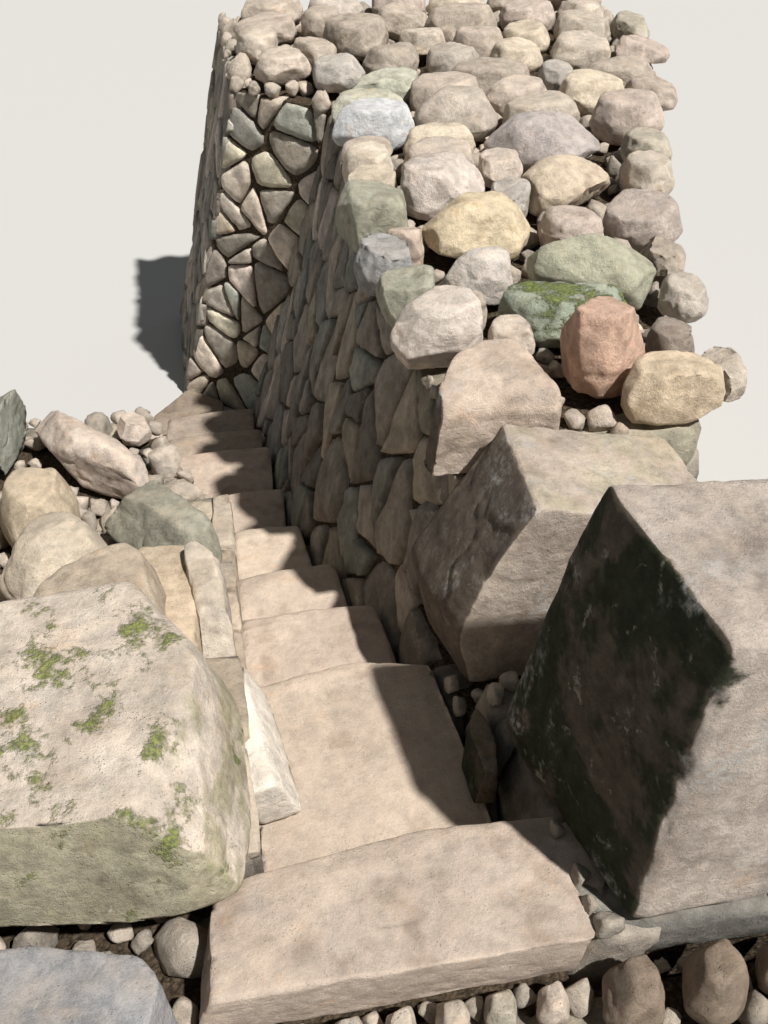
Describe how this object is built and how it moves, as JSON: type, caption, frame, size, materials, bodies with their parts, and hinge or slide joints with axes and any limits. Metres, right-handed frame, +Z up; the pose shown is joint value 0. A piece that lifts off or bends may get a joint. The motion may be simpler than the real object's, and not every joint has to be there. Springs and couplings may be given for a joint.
{
  "type": "outdoor stone steps",
  "caption": "Straight flight of rough stone slab steps between a high dry-stone retaining wall and a low boulder wall.",
  "frame": {"origin": "on the level base under the flight, in line with the foot of the retaining wall", "axes": "+Z up, +Y down the flight, +X towards the high retaining wall on the right of someone walking down"},
  "size_m": [4.5098, 6.82, 2.8],
  "materials": {
    "coping_stone": "matt",
    "cream_stone": "matt",
    "dark_boulder": "matt",
    "grey_stone": "matt",
    "packing_stone": "matt",
    "pale_stone": "matt",
    "tan_boulder": "matt",
    "tread_stone": "matt",
    "wall_stone": "matt"
  },
  "bodies": {
    "root": {"boulder_left_large": "tan_boulder", "boulder_right_large": "dark_boulder", "boulder_right_middle": "dark_boulder", "boulder_right_small": "dark_boulder", "chock_stone": "dark_boulder", "coping_bank": "coping_stone", "coping_edge_far": "coping_stone", "coping_edge_near": "coping_stone", "coping_far_end": "coping_stone", "coping_middle_far": "coping_stone", "coping_middle_near": "coping_stone", "coping_red_stones": "coping_stone", "cream_slab": "cream_stone", "far_wall": "wall_stone", "grey_slab_left": "grey_stone", "left_stone_1": "pale_stone", "left_stone_2": "pale_stone", "left_stone_3": "pale_stone", "left_stone_4": "pale_stone", "left_stone_5": "pale_stone", "left_stone_6": "pale_stone", "left_stone_7": "pale_stone", "left_wall_1": "wall_stone", "left_wall_2": "wall_stone", "left_wall_3": "wall_stone", "left_wall_4": "wall_stone", "left_wall_5": "wall_stone", "packing_cobbles": "packing_stone", "packing_rubble": "packing_stone", "rear_footing": "wall_stone", "retaining_wall_1": "wall_stone", "retaining_wall_2": "wall_stone", "retaining_wall_3": "wall_stone", "retaining_wall_4": "wall_stone", "return_wall": "wall_stone", "rubble_bed_lower": "wall_stone", "rubble_bed_upper": "wall_stone", "step_01_top": "tread_stone", "step_02": "tread_stone", "step_03": "tread_stone", "step_04": "tread_stone", "step_05": "tread_stone", "step_06": "tread_stone", "step_07": "tread_stone", "step_08": "tread_stone", "step_09": "tread_stone", "step_10_bottom": "tread_stone"}
  },
  "joints": []
}
